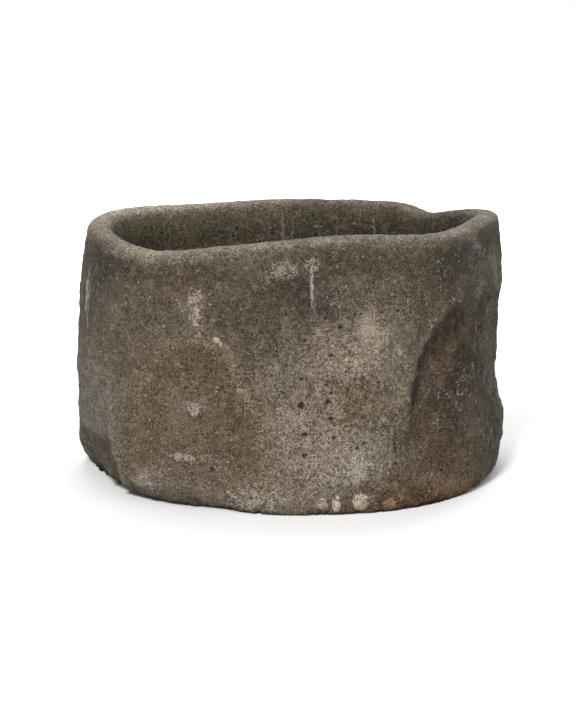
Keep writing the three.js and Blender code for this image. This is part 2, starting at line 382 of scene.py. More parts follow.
def spot(turn, z, at, high, wide, tall):
    """A soft patch on the wall: a bell of the distance, in mm round the wall and mm up."""
    across = between(turn, at) * math.radians(1) * PAINT_RADIUS / wide
    return bell(np.sqrt(across ** 2 + ((z - high) / tall) ** 2))


def rib(turn, z, foot, head, wide):
    """A bell of the distance, in mm, to the straight line from foot to head, each (turn, height)."""
    scale = math.radians(1) * RIB_RADIUS
    run, rise = (head[0] - foot[0]) * scale, head[1] - foot[1]
    x, y = between(turn, foot[0]) * scale, z - foot[1]
    share = np.clip((x * run + y * rise) / (run * run + rise * rise), 0, 1)
    return bell(np.sqrt((x - share * run) ** 2 + (y - share * rise) ** 2) / wide)


def tinted(tone, colour, share):
    """Tone moved towards a colour by a share at each point."""
    return tone + (np.array(colour) - tone) * share[..., None]


def shaded(tone, factor, share):
    """Tone times a factor, one for all or one each for red, green and blue, by a share at each point."""
    return tone * (1 + (np.array(factor) - 1) * share[..., None])


def linear(tone):
    """Red, green and blue of 255 as light: the share of 255 to the power 2.2."""
    return (np.clip(tone, 0, 255) / 255.0) ** 2.2


points, turn, zone = bowl_surface()
zone = np.broadcast_to(zone[:, None], turn.shape)
z = points[..., 2]
wall = zone == WALL
over_rim = z - HEIGHT - rim_lift(turn)
normals = grid_normals(points)
rng = np.random.default_rng(11)

# Hand-dressed, weathered stone: broad lumps, pecked facets and sandy relief, calmer on the lip.
relief = 0.9 * rubble(points, 46, 3, 3) + 0.6 * rubble(points, 15, 5, 3)
relief += 0.42 * rubble(points, 5.6, 9, 2, 0.7)
relief *= np.where(zone == LIP, 0.6, 1.0)

# The foot's edge is undercut and broken away in small chips, fewer at the front's right.
edge = bell((z - 1.0) / 7.0) * (zone <= WALL)
chips = np.clip(rubble(points, 10, 21, 3, 0.8) + 0.12, 0, None)
chips *= 0.55 + 0.9 * np.abs(grain(points, 48, 23))
chips *= 1 - 0.7 * sector(turn, 300, 34)
relief -= 4.2 * edge * chips + 1.3 * (1 - step(0.0, 2.2, z)) * wall

# The scar has a crisp, ragged edge with a raised brow, flaked stone inside it, and a crack beside it.
# The edge is softer low down and towards the bowl's end, where high up its step is filled in again.
from_scar = between(turn, SCAR_TURN)
behind = step(-22, 8, from_scar) * step(180, 150, np.abs(from_scar))
ragged = (0.13 + 0.13 * behind) * rubble(points, 30, 71, 4, 0.6)
inward = scar_edge(turn, z) + ragged
crisp = (0.25 + 0.75 * step(45, 80, z)) * step(0, 20, z) * (0.22 + 0.78 * step(4, -22, from_scar))
filled = step(-20, 0, from_scar) * step(104, 124, z) * (1 - step(0.25, 0.9, inward)) * (1 - behind)
relief += 0.8 * scar_step(scar_room(turn, z)) * filled * wall
relief -= 3.4 * step(-0.03, 0.09, inward) * (1 - step(0.3, 0.95, inward)) * crisp * wall
relief += 1.1 * bell((inward + 0.10) / 0.10) * crisp * wall
flakes = np.abs(grain(points, 26, 75)) + 0.5 * np.abs(grain(points, 11, 77))
relief -= 2.2 * flakes * step(0.1, 0.5, inward) * step(8, 30, z) * wall
crack_line = CRACK_TURN + CRACK_SWAY * np.sin(z / 5.0)
crack = bell(between(turn, crack_line) * MM_PER_DEGREE / CRACK_HALF)
crack *= step(30, 36, z) * (1 - step(54, 60, z))
relief -= 1.8 * crack * wall

# Soft ribs run up the scar: (foot, head, mm to each side, mm high), with each end as (turn, height).
RIBS = [
    ((314, 90), (330, 118), 5.0, 2.4), ((305, 62), (319, 90), 5.0, 1.5), ((312, 127), (323, 136), 3.5, 1.2),
    ((301, 18), (318, 58), 5.5, 1.4), ((324, 60), (338, 96), 6.0, 1.6),
]
shaken = turn + 0.5 * rubble(points, 9, 79, 2)
ribs = sum(high * rib(shaken, z, foot, head, wide) for foot, head, wide, high in RIBS)
relief += ribs * wall

# Shallow scoops left by the mason's point, round the back and the ends.
unseen = step(62, 92, np.abs(between(turn, 262)))
scoops = np.abs(grain(points, 30, 81)) + 0.6 * np.abs(grain(points, 14, 83))
relief += (0.5 - 2.3 * scoops) * unseen * wall * step(HEIGHT + 2, HEIGHT - 26, z)

# The left end's crease: a low ridge where the front meets the end's flat.
crease = between(turn, CREASE_TURN + 1.5 * np.sin(z / 11.0) + 1.2 * rubble(points, 16, 73, 2))
end_flat = step(0.8, -1.2, crease) * (1 - step(-26, -36, crease)) * wall
relief += 1.3 * bell(crease / 1.5) * (1 - step(62, 84, z)) * step(0, 16, z) * wall
relief -= (2.6 * (1 - step(30, 46, z)) + 1.4 * (1 - step(60, 84, z))) * end_flat

# Pits of burst gas bubbles, scattered by chance, with the larger ones listed: (turn, height, size).
PIT_COUNT = 420
rows = rng.integers(BASE_ROWS + 2, len(points) - 12, PIT_COUNT)
cols = rng.integers(0, COLUMNS, PIT_COUNT)
sizes = 1.4 + 1.2 * rng.random(PIT_COUNT) ** 3
holes = dents(points, points[rows, cols], sizes, 0.6 * sizes)
BIG_PITS = [
    (273, 73, 4.2), (284, 123, 2.9), (288, 132, 2.3), (281, 105, 2.9), (273, 90, 2.5), (265, 93, 1.8),
    (274, 54, 3.2), (282, 51, 2.6), (290, 47, 2.9), (274, 40, 3.0), (280, 75, 3.4), (204, 70, 3.2),
    (211, 71, 2.6), (207, 60, 2.3), (223, 80, 2.1), (315, 23, 2.3), (286, 96, 1.8), (267, 122, 1.8),
    (266, 108, 1.8), (294, 86, 2.0), (281, 64, 2.6), (300, 132, 2.2), (100, 96, 2.8), (80, 60, 2.6),
]
pit_points = [np.argmin(np.where(wall, np.abs(between(turn, at)) * 2.5 + np.abs(z - high), np.inf))
              for at, high, _ in BIG_PITS]
pit_sizes = np.array([size for _, _, size in BIG_PITS])
holes += dents(points, points.reshape(-1, 3)[pit_points], 0.8 * pit_sizes, 0.7 * pit_sizes)
relief -= holes

relief = np.where(zone == BASE, np.minimum(relief, 0.0), relief)
moved = points + normals * relief[..., None]
moved[..., 2] = np.maximum(moved[..., 2], 0.0)
moved = inside_box(moved, cad_box)

bowl = solid_mesh("bowl_stone", moved, [0, 0, 0], [0, 0, FLOOR_THICKNESS])


# ---------------------------------------------------------------- colour zones painted on the points

# The paint's colours: red, green and blue of 255.
OLIVE, BROWN, RUST, GREY = (83, 76, 62), (88, 70, 51), (112, 88, 62), (108, 98, 87)
PALE, DARK, UMBER = (136, 123, 107), (56, 49, 40), (63, 51, 37)
ARCH_BROWN, ARCH_TAN, OCHRE = (78, 60, 42), (118, 100, 76), (98, 80, 57)
# The lip's crest and the end's crease get painted highlights, and the end's undercut a painted shade.
LIP_CREST_HIGHLIGHT, CREASE_HIGHLIGHT, END_GREY, END_UNDERCUT_SHADE = (130, 122, 109), (132, 118, 98), (97, 91, 81), (57, 48, 36)

# Soft stains: (colour, strength, turn, height, mm across, mm up)
STAINS = [
    (DARK, 0.45, 330, 160, 42, 22), (DARK, 0.85, 325, 100, 32, 46), (DARK, 0.70, 318, 60, 26, 50),
    (DARK, 0.50, 340, 70, 40, 60), (DARK, 0.60, 268, 138, 42, 16), (DARK, 0.55, 266, 122, 26, 22),
    (DARK, 0.30, 285, 152, 30, 18), (DARK, 0.35, 250, 122, 36, 16), (DARK, 0.45, 212, 158, 30, 18),
    (DARK, 0.60, 204, 130, 26, 30), (DARK, 0.35, 232, 150, 30, 20), (BROWN, 0.55, 243, 95, 36, 18),
    (BROWN, 0.75, 246, 98, 20, 12), (BROWN, 0.80, 228, 62, 14, 38), (BROWN, 0.95, 257, 52, 14, 40),
    (BROWN, 0.60, 244, 45, 34, 30), (BROWN, 0.65, 262, 26, 20, 22), (BROWN, 0.35, 240, 150, 44, 16),
    (RUST, 0.25, 240, 78, 30, 12), (RUST, 0.30, 258, 40, 8, 26), (GREY, 0.65, 266, 66, 18, 30),
    (GREY, 0.85, 281, 120, 22, 16), (GREY, 0.40, 272, 104, 22, 18), (GREY, 0.80, 276, 78, 34, 30),
    (GREY, 0.95, 285, 40, 36, 28), (GREY, 0.70, 292, 110, 22, 34), (GREY, 0.55, 301, 100, 10, 40),
    (PALE, 0.75, 292, 120, 8, 12), (PALE, 0.75, 281, 42, 28, 22), (PALE, 0.60, 287, 100, 26, 12),
    (PALE, 0.45, 270, 66, 12, 8), (PALE, 0.50, 268, 18, 40, 12), (PALE, 0.45, 284, 12, 40, 10),
    (GREY, 0.80, 236, 16, 44, 14), (RUST, 0.30, 291, 76, 16, 12), (BROWN, 0.75, 290, 72, 14, 14),
    (RUST, 0.45, 300, 4, 50, 7), (UMBER, 0.75, 326, 84, 36, 60), (UMBER, 0.50, 312, 40, 20, 30),
    (BROWN, 0.45, 318, 112, 12, 20), (RUST, 0.80, 318, 8, 50, 10), (RUST, 0.25, 280, 86, 26, 30),
    (GREY, 0.60, 338, 154, 16, 10), (BROWN, 0.40, 325, 40, 30, 30), (DARK, 0.50, 210, 152, 16, 14),
    (DARK, 0.30, 226, 152, 20, 14), (DARK, 0.45, 278, 141, 15, 9), (DARK, 0.55, 336, 163, 18, 9),
    (GREY, 0.55, 337, 134, 12, 14), (DARK, 0.40, 325, 82, 18, 20), (UMBER, 0.60, 322, 86, 16, 26),
    (UMBER, 0.65, 337, 98, 20, 38), (DARK, 0.45, 208, 150, 16, 16), (DARK, 0.55, 200, 167, 18, 9),
    (DARK, 0.45, 271, 147, 16, 9), (DARK, 0.45, 348, 34, 22, 26), (BROWN, 0.85, 300, 5, 28, 7),
    (BROWN, 0.85, 311, 4, 26, 7), (BROWN, 0.45, 298, 20, 14, 8), (PALE, 0.35, 238, 21, 16, 12),
    (BROWN, 0.45, 258, 34, 14, 20), (PALE, 0.35, 267, 92, 14, 8), (PALE, 0.45, 277, 78, 14, 12),
    (PALE, 0.30, 290, 96, 10, 10), (RUST, 0.55, 299, 16, 9, 16), (GREY, 0.80, 92, 66, 50, 34),
    (BROWN, 0.80, 60, 40, 36, 30), (BROWN, 0.80, 128, 104, 34, 34), (PALE, 0.6, 104, 40, 30, 22),
    (DARK, 0.60, 95, 132, 60, 16), (GREY, 0.70, 30, 60, 24, 34), (RUST, 0.45, 118, 80, 22, 14),
    (GREY, 0.60, 150, 40, 26, 30), (DARK, 0.45, 150, 60, 30, 50), (PALE, 0.50, 75, 120, 18, 14),
    (PALE, 0.45, 118, 34, 22, 12), (DARK, 0.45, 20, 120, 26, 40), (RUST, 0.40, 100, 6, 70, 8),
    (GREY, 0.40, 350, 140, 14, 20),
]
warp_turn = turn + 3.2 * rubble(points, 34, 31, 3) + 1.0 * grain(points, 9, 37)
warp_z = z + 8.0 * rubble(points, 34, 33, 3) + 2.5 * grain(points, 9, 39)
tone = np.array(OLIVE, float)
for colour, strength, at, high, across, up in STAINS:
    tone = tinted(tone, colour, strength * spot(warp_turn, warp_z, at, high, across, up) * (zone <= WALL))

# The brown arch: darkest just inside its edge, with a thin tan line along the edge.
arch = (between(warp_turn, ARCH_TURN) / ARCH_WIDE) ** 2 + ((warp_z - ARCH_FOOT) / ARCH_HIGH) ** 2
arch = np.sqrt(arch)
arch_room = step(10, 46, z) * wall
tone = tinted(tone, ARCH_BROWN, 0.42 * bell((arch - 0.80) / 0.14) * arch_room)
tone = tinted(tone, ARCH_TAN, 0.50 * bell((arch - 1.01) / 0.07) * arch_room)

# The ribs are ochre, the whole is a little cloudy, the hollow is painted darker as shade, and the scar is
# warmer.
tone = tinted(tone, OCHRE, 0.42 * np.clip(ribs / 2.0, 0, 1) * wall * (1 - behind))
tone = tone * (1 + 0.10 * rubble(points, 60, 41, 3)[..., None])
tone = shaded(tone, (0.74, 0.73, 0.70), zone == HOLLOW)
tone = shaded(tone, (1.02, 0.985, 0.935), step(0.1, 0.4, inward) * (1 - behind) * wall)

# Darker and lighter places on the wall and lip: (factor, turn, height, mm across, mm up)
SHADES = [
    (0.84, 324, 88, 26, 34), (0.84, 346, 50, 20, 44), (0.78, 300, 5, 34, 9), (0.94, 288, 20, 26, 8),
    (0.85, 209, 150, 30, 18), (0.86, 204, 170, 16, 10), (0.86, 257, 149, 20, 11), (0.86, 277, 147, 15, 10),
    (0.93, 232, 134, 60, 13), (0.92, 288, 137, 34, 12), (0.93, 232, 92, 40, 12), (1.10, 280, 108, 14, 26),
    (1.09, 268, 94, 14, 12), (1.04, 284, 84, 26, 30), (1.10, 276, 44, 20, 14), (1.09, 300, 88, 9, 14),
    (1.12, 229, 20, 20, 12), (1.12, 233, 168, 16, 7), (1.25, 330, 180, 20, 8), (1.20, 300, 173, 30, 8),
    (0.80, 222, 160, 15, 8), (0.94, 280, 140, 22, 10), (0.88, 299, 108, 12, 20), (1.09, 248, 55, 12, 12),
    (0.88, 306, 118, 12, 14), (0.88, 290, 3, 20, 6), (0.80, 340, 108, 16, 44), (1.22, 205, 26, 18, 14),
    (1.10, 226, 17, 16, 10), (0.93, 298, 60, 10, 10), (0.92, 298, 32, 10, 10), (0.92, 253, 34, 12, 14),
    (1.22, 165, 170, 34, 10), (1.14, 226, 168, 22, 6), (0.82, 30, 168, 26, 12), (0.89, 329, 86, 22, 30),
]
for factor, at, high, across, up in SHADES:
    mask = spot(warp_turn, warp_z, at, high, across, up) * ((zone == WALL) | (zone == LIP))
    tone = shaded(tone, factor, mask)

# The hollow is painted darker inside the right end as shade, and painted lighter high inside the left as
# light.
tone = shaded(tone, 0.70, sector(turn, 38, 28) * (zone == HOLLOW))
tone = shaded(tone, 1.18, sector(turn, 148, 32) * (zone == HOLLOW) * step(110, 145, z))

# The lip's crest is painted pale as a highlight, most at the left and the back. The wall just below it is
# painted darker as shade, above all at the front's right corner, and so is the lip's inner side at the right
# end.
tone = tinted(tone, LIP_CREST_HIGHLIGHT, 0.66 * bell((over_rim - 0.5) / 4.0) * (zone >= WALL))
tone = shaded(tone, 1.36, sector(turn, 150, 36) * bell((z - HEIGHT) / 12) * (zone >= LIP))
tone = shaded(tone, 1.14, sector(turn, 128, 24) * bell((z - HEIGHT) / 8) * (zone >= LIP))
tone = shaded(tone, 1.14, sector(turn, 232, 14) * bell(over_rim / 8) * (zone >= WALL))
tone = shaded(tone, 0.85, bell((over_rim + 15) / 9.0) * wall)
corner = sector(turn, 322, 18) * step(-4, -9, over_rim) * step(-46, -30, z - HEIGHT)
tone = shaded(tone, 0.84, corner * wall)
tone = shaded(tone, 0.70, sector(turn, 0, 40) * step(HEIGHT + 2, HEIGHT - 8, z) * (zone >= LIP))

# The foot is rusty at the front's right. The left end's flat is a violet grey above and a dark brown below,
# painted as the undercut's shade; its crease has a painted highlight, and the scar has a painted shadow
# along its inner edge and a painted highlight on its brow.
tone = shaded(tone, (0.92, 0.83, 0.66), 0.75 * spot(warp_turn, warp_z, 304, 3, 40, 9) * wall)
slant = z - 38 - 0.25 * crease
tone = tinted(tone, END_GREY, 0.8 * end_flat * step(-3, 5, slant) * (1 - step(70, 98, z)))
tone = tinted(tone, END_UNDERCUT_SHADE, 0.95 * end_flat * step(5, -3, slant))
tone = tinted(tone, CREASE_HIGHLIGHT, 0.4 * bell((crease - 1.0) / 1.4) * (1 - step(48, 76, z)) * wall)
inner_shade = bell((inward - 0.10) / 0.16) * crisp * wall
brow_highlight = bell((inward + 0.13) / 0.12) * crisp * wall
tone = tone * (1 - 0.32 * inner_shade + 0.16 * brow_highlight)[..., None]

# Where pale lime specks and open pores gather: (amount, turn, height, mm across, mm up)
SPECK_SPOTS = [
    (0.75, 286, 34, 36, 18), (0.80, 259, 10, 20, 7), (0.70, 228, 17, 14, 8), (0.25, 318, 60, 28, 40),
    (0.30, 345, 100, 30, 60), (0.35, 275, 90, 40, 30), (0.50, 90, 50, 60, 30),
]
PORE_SPOTS = [(0.70, 281, 80, 46, 46), (0.70, 206, 70, 18, 30), (0.40, 95, 80, 80, 50)]
specks = 0.16 + sum(amount * spot(warp_turn, warp_z, *where) for amount, *where in SPECK_SPOTS)
pores = 0.25 + sum(amount * spot(warp_turn, warp_z, *where) for amount, *where in PORE_SPOTS)
# Painted shade: darker along the foot's bottom edge, low in the hollow, and in the deeper pits.
painted_shade = 0.5 * bell(z / 2.6) * (zone <= WALL) + 0.5 * (zone == HOLLOW) * step(150, 60, z)
painted_shade += 0.7 * step(0.8, 1.6, holes)

# The amounts of lime specks, of open pores and of painted shade are painted as red, green and blue.
paint(bowl, "tone", linear(tone))
paint(bowl, "marks", np.clip(np.stack([specks, pores, painted_shade], -1), 0, 1))


# ---------------------------------------------------------------- the tejolote

def pestle_radius(h):
    """Quarter-ellipse dome, a cubic taper to the waist, a cubic swell to the knob, a quarter-ellipse top."""
    dome = PESTLE_HEAD_RADIUS * np.sqrt(np.clip(1 - (1 - h / PESTLE_HEAD_HEIGHT) ** 2, 0, 1))
    narrowing = step(PESTLE_HEAD_HEIGHT, PESTLE_WAIST_HEIGHT, h)
    taper = PESTLE_HEAD_RADIUS + (PESTLE_WAIST_RADIUS - PESTLE_HEAD_RADIUS) * narrowing
    widening = step(PESTLE_WAIST_HEIGHT, PESTLE_KNOB_HEIGHT, h)
    swell = PESTLE_WAIST_RADIUS + (PESTLE_KNOB_RADIUS - PESTLE_WAIST_RADIUS) * widening
    up = np.clip((h - PESTLE_KNOB_HEIGHT) / (PESTLE_LENGTH - PESTLE_KNOB_HEIGHT), 0, 1)
    top = PESTLE_KNOB_RADIUS * np.sqrt(1 - up ** 2)
    parts = [h < PESTLE_HEAD_HEIGHT, h < PESTLE_WAIST_HEIGHT, h < PESTLE_KNOB_HEIGHT]
    return np.select(parts, [dome, taper, swell], top)


def pestle_surface(seat):
    """Lathe of the pestle's radius, with a slightly oval section that twists as it rises: the radius is
    less by PESTLE_OVAL times (1 - the cosine of twice the turn from the long axis at that height)."""
    below = np.radians(np.linspace(4, 90, DOME_ROWS))
    dome = PESTLE_HEAD_HEIGHT * (1 - np.cos(below))
    shaft = np.linspace(PESTLE_HEAD_HEIGHT, PESTLE_KNOB_HEIGHT, SHAFT_ROWS)[1:]
    above = np.radians(np.linspace(0, 86, DOME_ROWS))[1:]
    top = PESTLE_KNOB_HEIGHT + (PESTLE_LENGTH - PESTLE_KNOB_HEIGHT) * np.sin(above)
    h = np.concatenate([dome, shaft, top])[:, None]
    turn = np.arange(PESTLE_COLUMNS)[None, :] * 360 / PESTLE_COLUMNS
    from_axis = np.radians(turn - PESTLE_AXIS - PESTLE_TWIST * h)
    r = pestle_radius(h) * (1 - PESTLE_OVAL * (1 - np.cos(2 * from_axis)))
    t = np.radians(turn)
    return np.stack([r * np.cos(t), r * np.sin(t), h + seat + 0 * t], -1)


PESTLE_GREY, PESTLE_WORN = (96, 91, 84), (128, 121, 111)
PESTLE_PITS = 160
low, high = np.array(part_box("tejolote")) * 1000
surface = pestle_surface(low[2])
worn = step(PESTLE_HEAD_HEIGHT * 1.1, PESTLE_HEAD_HEIGHT * 0.4, surface[..., 2] - low[2])

# Lumps, pits and pecked facets, worn smooth towards the end that grinds.
pestle_relief = 0.5 * rubble(surface, 22, 51, 3) + 0.25 * rubble(surface, 6, 57, 2, 0.7) - 0.35
rows = rng.integers(10, len(surface) - 4, PESTLE_PITS)
cols = rng.integers(0, PESTLE_COLUMNS, PESTLE_PITS)
sizes = 1.1 + 1.0 * rng.random(PESTLE_PITS) ** 2
pestle_relief -= dents(surface, surface[rows, cols], sizes, 0.7 * sizes) * (1 - worn)
pestle_relief = pestle_relief * (1 - 0.7 * worn) - 0.1 * worn
pecks = np.abs(grain(surface, 17, 85)) + 0.5 * np.abs(grain(surface, 8, 87))
pestle_relief -= 0.9 * pecks * (1 - worn)
pestle_moved = surface + grid_normals(surface) * pestle_relief[..., None]
tejolote = solid_mesh("tejolote_stone", pestle_moved, [0, 0, low[2]], [0, 0, high[2] - 0.4])
pestle_tone = tinted(np.array(PESTLE_GREY, float), PESTLE_WORN, worn)
pestle_tone = pestle_tone * (1 + 0.12 * rubble(surface, 30, 61, 3)[..., None])
paint(tejolote, "tone", linear(pestle_tone))
paint(tejolote, "marks", np.stack([0.12 + 0 * worn, 0.55 * (1 - worn), 0 * worn], -1))


# ---------------------------------------------------------------- shader groups

def new_group(name, inputs, outputs):
    """Empty shader node group with sockets (name, type, default)."""
    group = bpy.data.node_groups.new(name, "ShaderNodeTree")
    for label, kind, value in inputs:
        socket = group.interface.new_socket(name=label, in_out="INPUT", socket_type="NodeSocket" + kind)
        if value is not None:
            socket.default_value = value
    for label, kind in outputs:
        group.interface.new_socket(name=label, in_out="OUTPUT", socket_type="NodeSocket" + kind)
    return group, group.nodes.new("NodeGroupInput").outputs, group.nodes.new("NodeGroupOutput").inputs


def feed(tree, socket, value):
    """Links an output to an input socket, or sets the input's own value."""
    if isinstance(value, bpy.types.NodeSocket):
        tree.links.new(value, socket)
    else:
        socket.default_value = value


def node(tree, kind, inputs=(), **settings):
    """Adds a shader node, sets its properties, and feeds its input sockets by name or number."""
    made = tree.nodes.new("ShaderNode" + kind)
    for key, value in settings.items():
        setattr(made, key, value)
    for key, value in dict(inputs).items():
        feed(tree, made.inputs[key], value)
    return made


def vector_calc(tree, operation, inputs):
    """One step of vector arithmetic."""
    return node(tree, "VectorMath", inputs, operation=operation).outputs[0]


def length(tree, value):
    """The length of a vector."""
    return node(tree, "VectorMath", {0: value}, operation="LENGTH").outputs["Value"]


def calc(tree, operation, a, b, clamp=False):
    """One step of arithmetic on a and b, kept between 0 and 1 if `clamp` is set."""
    return node(tree, "Math", {0: a, 1: b}, operation=operation, use_clamp=clamp).outputs[0]


def times(tree, a, b):
    """a times b."""
    return calc(tree, "MULTIPLY", a, b)


def plus(tree, a, b):
    """a plus b."""
    return calc(tree, "ADD", a, b)


def swing(tree, value, by):
    """A noise, which lies about one half, made to lie about nought and multiplied."""
    return times(tree, calc(tree, "SUBTRACT", value, 0.5), by)


def ramp(tree, value, lo, hi, out_lo=0.0, out_hi=1.0):
    """Smooth map from lo..hi to out_lo..out_hi."""
    inputs = {"Value": value, "From Min": lo, "From Max": hi, "To Min": out_lo, "To Max": out_hi}
    return node(tree, "MapRange", inputs, interpolation_type="SMOOTHSTEP").outputs[0]


def mix(tree, share, a, b, kind="MIX"):
    """Colour mix of a and b by share."""
    made = node(tree, "Mix", data_type="RGBA", blend_type=kind)
    for number, value in ((0, share), (6, a), (7, b)):
        feed(tree, made.inputs[number], value)
    return made.outputs[2]


def coat(tree, colour, mask, strength, pigment):
    """Lays a pigment over a colour where a mask says, by a strength."""
    return mix(tree, times(tree, mask, strength), colour, pigment)


def noise(tree, vector, scale, detail=3.0, rough=0.5, seed=0.0):
    """Value of a noise with this many cells to the metre; the seed picks another one."""
    inputs = {"Vector": vector, "Scale": scale, "Detail": detail, "Roughness": rough, "W": seed}
    return node(tree, "TexNoise", inputs, noise_dimensions="4D").outputs[0]


def voronoi(tree, vector, scale):
    """Distance to the middle of the nearest cell, and three chance numbers for that cell."""
    cells = node(tree, "TexVoronoi", {"Vector": vector, "Scale": scale, "Randomness": 1.0}).outputs
    return cells["Distance"], node(tree, "SeparateColor", {0: cells["Color"]}).outputs


def sand_group():
    """Sandy stone. Grains a millimetre across are the cells of a Voronoi pattern, each with its own shade
    and height, and noise at three sizes clouds them. Shade is a factor for the colour, about 1 on
    average, and Tan picks out some of the grains."""
    tree, given, out = new_group(
        "Sandy grain", [("Vector", "Vector", None), ("Seed", "Float", 0.0), ("Contrast", "Float", 1.0)],
        [("Shade", "Float"), ("Height", "Float"), ("Tan", "Float")])
    distance, chance = voronoi(tree, given["Vector"], 1250.0)
    grit = noise(tree, given["Vector"], 1700.0, 1.0, 0.6, given["Seed"])
    medium = noise(tree, given["Vector"], 420.0, 2.0, 0.65, given["Seed"])
    cloud = noise(tree, given["Vector"], 75.0, 4.0, 0.62, given["Seed"])
    shade = swing(tree, grit, 4.6)
    for layer, by in ((chance[0], 1.9), (medium, 1.9), (cloud, 1.6)):
        shade = plus(tree, shade, swing(tree, layer, by))
    shade = calc(tree, "MINIMUM", times(tree, shade, given["Contrast"]), 1.10)
    shade = times(tree, 1.03, calc(tree, "POWER", 2.2, shade))
    tree.links.new(shade, out["Shade"])
    tree.links.new(ramp(tree, chance[1], 0.72, 0.80), out["Tan"])
    height = plus(tree, times(tree, grit, 0.7), times(tree, medium, 1.6))
    tree.links.new(calc(tree, "SUBTRACT", height, times(tree, distance, 0.6)), out["Height"])
    return tree


def speck_group():
    """Pale lime: the crests of a fine noise, gathered in clusters by a coarser one."""
    tree, given, out = new_group(
        "Lime specks", [("Vector", "Vector", None), ("Scale", "Float", 500.0), ("Amount", "Float", 0.3)],
        [("Mask", "Float")])
    crest = noise(tree, given["Vector"], given["Scale"], 2.0, 0.6, 1.5)
    cluster = noise(tree, given["Vector"], 95.0, 3.0, 0.6, 2.5)
    level = plus(tree, crest, swing(tree, cluster, 0.45))
    level = plus(tree, level, times(tree, given["Amount"], 0.16))
    tree.links.new(ramp(tree, level, 0.66, 0.76), out["Mask"])
    return tree


def pore_group():
    """Open pores: round holes at some of the cells of a Voronoi pattern, of mixed size."""
    tree, given, out = new_group(
        "Open pores", [("Vector", "Vector", None), ("Scale", "Float", 160.0), ("Amount", "Float", 0.3)],
        [("Mask", "Float")])
    bend = noise(tree, given["Vector"], 500.0, 2.0)
    distance, chance = voronoi(tree, given["Vector"], given["Scale"])
    chosen = calc(tree, "LESS_THAN", chance[0], given["Amount"])
    size = ramp(tree, chance[1], 0.0, 1.0, 0.07, 0.20)
    distance = plus(tree, distance, times(tree, bend, 0.10))
    reach = calc(tree, "DIVIDE", calc(tree, "SUBTRACT", distance, 0.05), size)
    tree.links.new(times(tree, chosen, ramp(tree, reach, 1.15, 0.75)), out["Mask"])
    return tree


def stroke_group():
    """Rubbing strokes: noise drawn out along an upright line that Tilt leans over, which comes and goes
    over a few centimetres."""
    tree, given, out = new_group(
        "Rubbing strokes", [("Vector", "Vector", None), ("Tilt", "Float", 0.6)], [("Mask", "Float")])
    inputs = {"Vector": given["Vector"], "Axis": (0, 1, 0), "Angle": given["Tilt"]}
    turned = node(tree, "VectorRotate", inputs, rotation_type="AXIS_ANGLE").outputs[0]
    drawn = vector_calc(tree, "MULTIPLY", {0: turned, 1: (1.0, 1.0, 0.14)})
    lines = noise(tree, drawn, 620.0, 3.0, 0.6, 2.0)
    room = ramp(tree, noise(tree, given["Vector"], 26.0, 2.0, 0.5, 7.0), 0.42, 0.62)
    tree.links.new(swing(tree, lines, room), out["Mask"])
    return tree


def bend_group():
    """For smears and pits: a place shaken by noise, up to three millimetres each way, and a gritty noise."""
    tree, given, out = new_group(
        "Ragged bend", [("Vector", "Vector", None)], [("Bent", "Vector"), ("Grit", "Float")])
    inputs = {"Vector": given["Vector"], "Scale": 190.0, "Detail": 3.0}
    wobble = node(tree, "TexNoise", inputs).outputs["Color"]
    wobble = vector_calc(tree, "SUBTRACT", {0: wobble, 1: (0.5, 0.5, 0.5)})
    wobble = vector_calc(tree, "SCALE", {0: wobble, 3: 0.006})
    tree.links.new(vector_calc(tree, "ADD", {0: given["Vector"], 1: wobble}), out["Bent"])
    patches = swing(tree, noise(tree, given["Vector"], 230.0, 3.0, 0.7, 4.0), 3.4)
    grains = swing(tree, noise(tree, given["Vector"], 1100.0, 1.0, 0.6, 5.0), 3.4)
    tree.links.new(plus(tree, patches, grains), out["Grit"])
    return tree


def smear_group():
    """One ragged smear or streak: an oval distance from its middle, broken up by the grit."""
    tree, given, out = new_group(
        "Ragged smear",
        [("Bent", "Vector", None), ("Grit", "Float", 0.0), ("Middle", "Vector", (0, 0, 0)),
         ("Half size", "Vector", (0.01, 0.01, 0.01)), ("Cover", "Float", 0.5)], [("Mask", "Float")])
    away = vector_calc(tree, "SUBTRACT", {0: given["Bent"], 1: given["Middle"]})
    away = vector_calc(tree, "DIVIDE", {0: away, 1: given["Half size"]})
    room = calc(tree, "SUBTRACT", 1.0, length(tree, away), True)
    level = plus(tree, times(tree, room, 0.6), given["Grit"])
    level = plus(tree, level, calc(tree, "SUBTRACT", given["Cover"], 0.8))
    mask = times(tree, ramp(tree, level, -0.05, 0.45), ramp(tree, room, 0.0, 0.25))
    tree.links.new(mask, out["Mask"])
    return tree


def pit_group():
    """One burst bubble: an oval, dark in the middle as painted shade, with a paler ring painted as a
    highlight on its rim, and a ragged outline.
    """
    tree, given, out = new_group(
        "Burst bubble", [("Vector", "Vector", None), ("Grit", "Float", 0.0), ("Middle", "Vector", (0, 0, 0)),
                         ("Size", "Float", 0.002)], [("Mask", "Float"), ("Ring", "Float")])
    away = vector_calc(tree, "SUBTRACT", {0: given["Vector"], 1: given["Middle"]})
    away = vector_calc(tree, "MULTIPLY", {0: away, 1: (0.85, 0.85, 1.25)})
    reach = calc(tree, "DIVIDE", length(tree, away), given["Size"])
    reach = plus(tree, reach, times(tree, given["Grit"], 0.55))
    tree.links.new(ramp(tree, reach, 1.0, 0.74), out["Mask"])
    tree.links.new(times(tree, ramp(tree, reach, 1.8, 1.2), ramp(tree, reach, 0.9, 1.1)), out["Ring"])
    return tree


SAND, SPECKS, PORES = sand_group(), speck_group(), pore_group()
STROKES, BEND, SMEAR, PIT = stroke_group(), bend_group(), smear_group(), pit_group()

